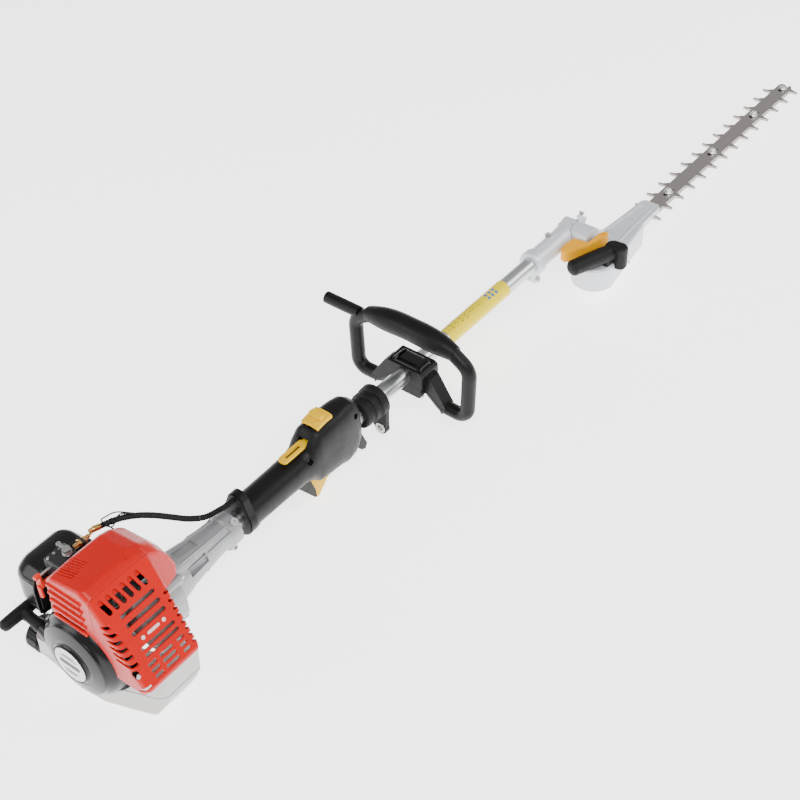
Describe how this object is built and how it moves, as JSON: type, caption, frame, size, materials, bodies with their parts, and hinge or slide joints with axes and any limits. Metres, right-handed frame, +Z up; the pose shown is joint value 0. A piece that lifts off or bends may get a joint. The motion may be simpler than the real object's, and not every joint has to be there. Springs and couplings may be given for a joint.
{
  "type": "long-reach hedge trimmer",
  "caption": "Petrol long-reach hedge trimmer: engine, tank and recoil starter behind, grip and loop handle on a drive tube, and a tilting head with twin sliding blades.",
  "frame": {"origin": "on the drive tube's axis, where the loop handle's plane would be 39 mm ahead", "axes": "+X along the drive tube towards the blades, +Z up out of the rear grip's top, +Y to the left"},
  "size_m": [1.7455, 0.264, 0.214],
  "materials": {
    "casting": "as die cast, satin grey",
    "pale_casting": "satin pale grey paint on a casting",
    "red_plastic": "glossy moulded red",
    "black_plastic": "fine grain moulded black",
    "yellow_plastic": "semi-gloss moulded yellow",
    "milky_tank": "translucent milky moulding",
    "tube": "clear anodised, satin",
    "steel": "turned or zinc plated",
    "blade_steel": "ground flat, polished",
    "brass": "turned",
    "foam": "open cell",
    "clear_rubber": "soft, translucent",
    "orange_plastic": "moulded",
    "cord": "braided"
  },
  "bodies": {
    "frame": {"air_cleaner_cover": "black_plastic", "air_filter_base": "black_plastic", "air_filter_foam": "foam", "cable_adjuster": "brass", "carburettor": "casting", "clutch_case": "casting", "crankcase": "casting", "cylinder": "casting", "cylinder_cover": "red_plastic", "drive_tube": "tube", "fan_case": "casting", "frame_fasteners": "steel", "fuel_tank": "milky_tank", "grip_left_shell": "black_plastic", "grip_right_shell": "black_plastic", "hanger_collar": "black_plastic", "ignition_coil": "steel", "intake_block": "black_plastic", "loop_clamp_cap": "black_plastic", "loop_handle": "black_plastic", "muffler": "steel", "muffler_cover": "red_plastic", "piston_and_rod": "casting", "pivot_bolt": "steel", "plug_cap_and_lead": "black_plastic", "shaft_bearings": "steel", "spark_plug": "steel", "starter_housing": "black_plastic", "strap_eyelet": "steel", "throttle_cable": "black_plastic", "upper_gearcase": "pale_casting"},
    "crank": {"crankshaft": "steel", "flywheel": "casting", "clutch_rotor": "steel"},
    "drive": {"drive_shaft": "steel", "clutch_drum": "steel"},
    "pivot_gears": {"pivot_gear": "steel"},
    "jack": {"jack_shaft": "steel"},
    "eccentric": {"eccentric_gear": "steel"},
    "head": {"cutter_gearcase": "pale_casting", "gearcase_cover": "pale_casting", "cutter_case_fasteners": "steel", "adjusting_grip": "black_plastic", "blade_guide_bar": "blade_steel", "blade_bolts": "steel"},
    "blade_a": {"upper_blade": "blade_steel"},
    "blade_b": {"lower_blade": "blade_steel"},
    "lever": {"release_lever": "yellow_plastic"},
    "pin": {"index_pin": "black_plastic"},
    "trigger": {"throttle_trigger": "yellow_plastic"},
    "lockout": {"lockout_lever": "yellow_plastic"},
    "switch": {"stop_switch": "yellow_plastic"},
    "throttle": {"throttle_arm": "steel"},
    "choke": {"choke_lever": "orange_plastic"},
    "primer": {"primer_bulb": "clear_rubber"},
    "cap": {"fuel_cap": "black_plastic"},
    "knob": {"air_cleaner_knob": "black_plastic"},
    "pulley": {"starter_pulley": "black_plastic"},
    "handle": {"starter_handle": "black_plastic", "starter_rope": "cord"}
  },
  "joints": [
    {"name": "crank_spin", "type": "hinge", "parent": "frame", "child": "crank", "pos_m": [-0.536, 0, 0], "axis": [1, 0, 0], "continuous": true},
    {"name": "drive_spin", "type": "hinge", "parent": "frame", "child": "drive", "pos_m": [0, 0, 0], "axis": [1, 0, 0], "continuous": true},
    {"name": "pivot_gear_spin", "type": "hinge", "parent": "frame", "child": "pivot_gears", "pos_m": [0.45, 0, 0], "axis": [0, 1, 0], "continuous": true},
    {"name": "head_tilt", "type": "hinge", "parent": "frame", "child": "head", "pos_m": [0.45, 0, 0], "axis": [0, 1, 0], "range_deg": [-45, 90]},
    {"name": "jack_spin", "type": "hinge", "parent": "head", "child": "jack", "pos_m": [0.45, -0.027, -0.04], "axis": [0, 0, 1], "continuous": true},
    {"name": "eccentric_spin", "type": "hinge", "parent": "head", "child": "eccentric", "pos_m": [0.472, -0.046, -0.05], "axis": [0, 0, 1], "continuous": true},
    {"name": "upper_blade_slide", "type": "slide", "parent": "head", "child": "blade_a", "axis": [1, 0, 0], "range_m": [-0.008, 0.008]},
    {"name": "lower_blade_slide", "type": "slide", "parent": "head", "child": "blade_b", "axis": [1, 0, 0], "range_m": [-0.008, 0.008]},
    {"name": "release_lever_hinge", "type": "hinge", "parent": "head", "child": "lever", "pos_m": [0.461, -0.054, 0], "axis": [0, 0, 1], "range_deg": [0, 2.4], "stiffness_Nm_per_rad": 1},
    {"name": "index_pin_slide", "type": "slide", "parent": "head", "child": "pin", "axis": [0.6018, 0, 0.7986], "range_m": [0, 0.004], "stiffness_N_per_m": 400},
    {"name": "trigger_hinge", "type": "hinge", "parent": "frame", "child": "trigger", "pos_m": [-0.138, 0, -0.034], "axis": [0, 1, 0], "range_deg": [0, 14], "stiffness_Nm_per_rad": 0.5},
    {"name": "lockout_hinge", "type": "hinge", "parent": "frame", "child": "lockout", "pos_m": [-0.184, 0, 0.032], "axis": [0, 1, 0], "range_deg": [-3, 0], "stiffness_Nm_per_rad": 0.3},
    {"name": "stop_switch_slide", "type": "slide", "parent": "frame", "child": "switch", "axis": [1, 0, 0], "range_m": [0, 0.005]},
    {"name": "throttle_arm_hinge", "type": "hinge", "parent": "frame", "child": "throttle", "pos_m": [-0.55, 0.0523, 0.084], "axis": [0, 0, 1], "range_deg": [-50, 0]},
    {"name": "choke_hinge", "type": "hinge", "parent": "frame", "child": "choke", "pos_m": [-0.588, 0.0623, 0.072], "axis": [1, 0, 0], "range_deg": [0, 30]},
    {"name": "primer_press", "type": "slide", "parent": "frame", "child": "primer", "axis": [0, 0, 1], "range_m": [0, 0.004], "stiffness_N_per_m": 300},
    {"name": "fuel_cap_turn", "type": "hinge", "parent": "frame", "child": "cap", "pos_m": [-0.579, 0.09, -0.05], "axis": [0, 1, 0], "range_deg": [-90, 0]},
    {"name": "air_cleaner_knob_turn", "type": "hinge", "parent": "frame", "child": "knob", "pos_m": [-0.545, 0.095, 0.0455], "axis": [0, 1, 0], "range_deg": [0, 90]},
    {"name": "starter_pull", "type": "slide", "parent": "frame", "child": "handle", "axis": [0, 0.9848, 0.1736], "range_m": [0, 0.65]},
    {"name": "starter_pulley_spin", "type": "hinge", "parent": "frame", "child": "pulley", "pos_m": [-0.595, 0, 0], "axis": [1, 0, 0], "range_deg": [0, 2075]}
  ],
  "couplings": [
    {"joint": "pivot_gear_spin", "follows": "drive_spin", "ratio": 0.5},
    {"joint": "jack_spin", "follows": "drive_spin", "ratio": 0.5},
    {"joint": "eccentric_spin", "follows": "drive_spin", "ratio": -0.22727},
    {"joint": "lower_blade_slide", "follows": "upper_blade_slide", "ratio": -1},
    {"joint": "throttle_arm_hinge", "follows": "trigger_hinge", "ratio": -3},
    {"joint": "starter_pulley_spin", "follows": "starter_pull", "rad_per_m": 55.556}
  ]
}
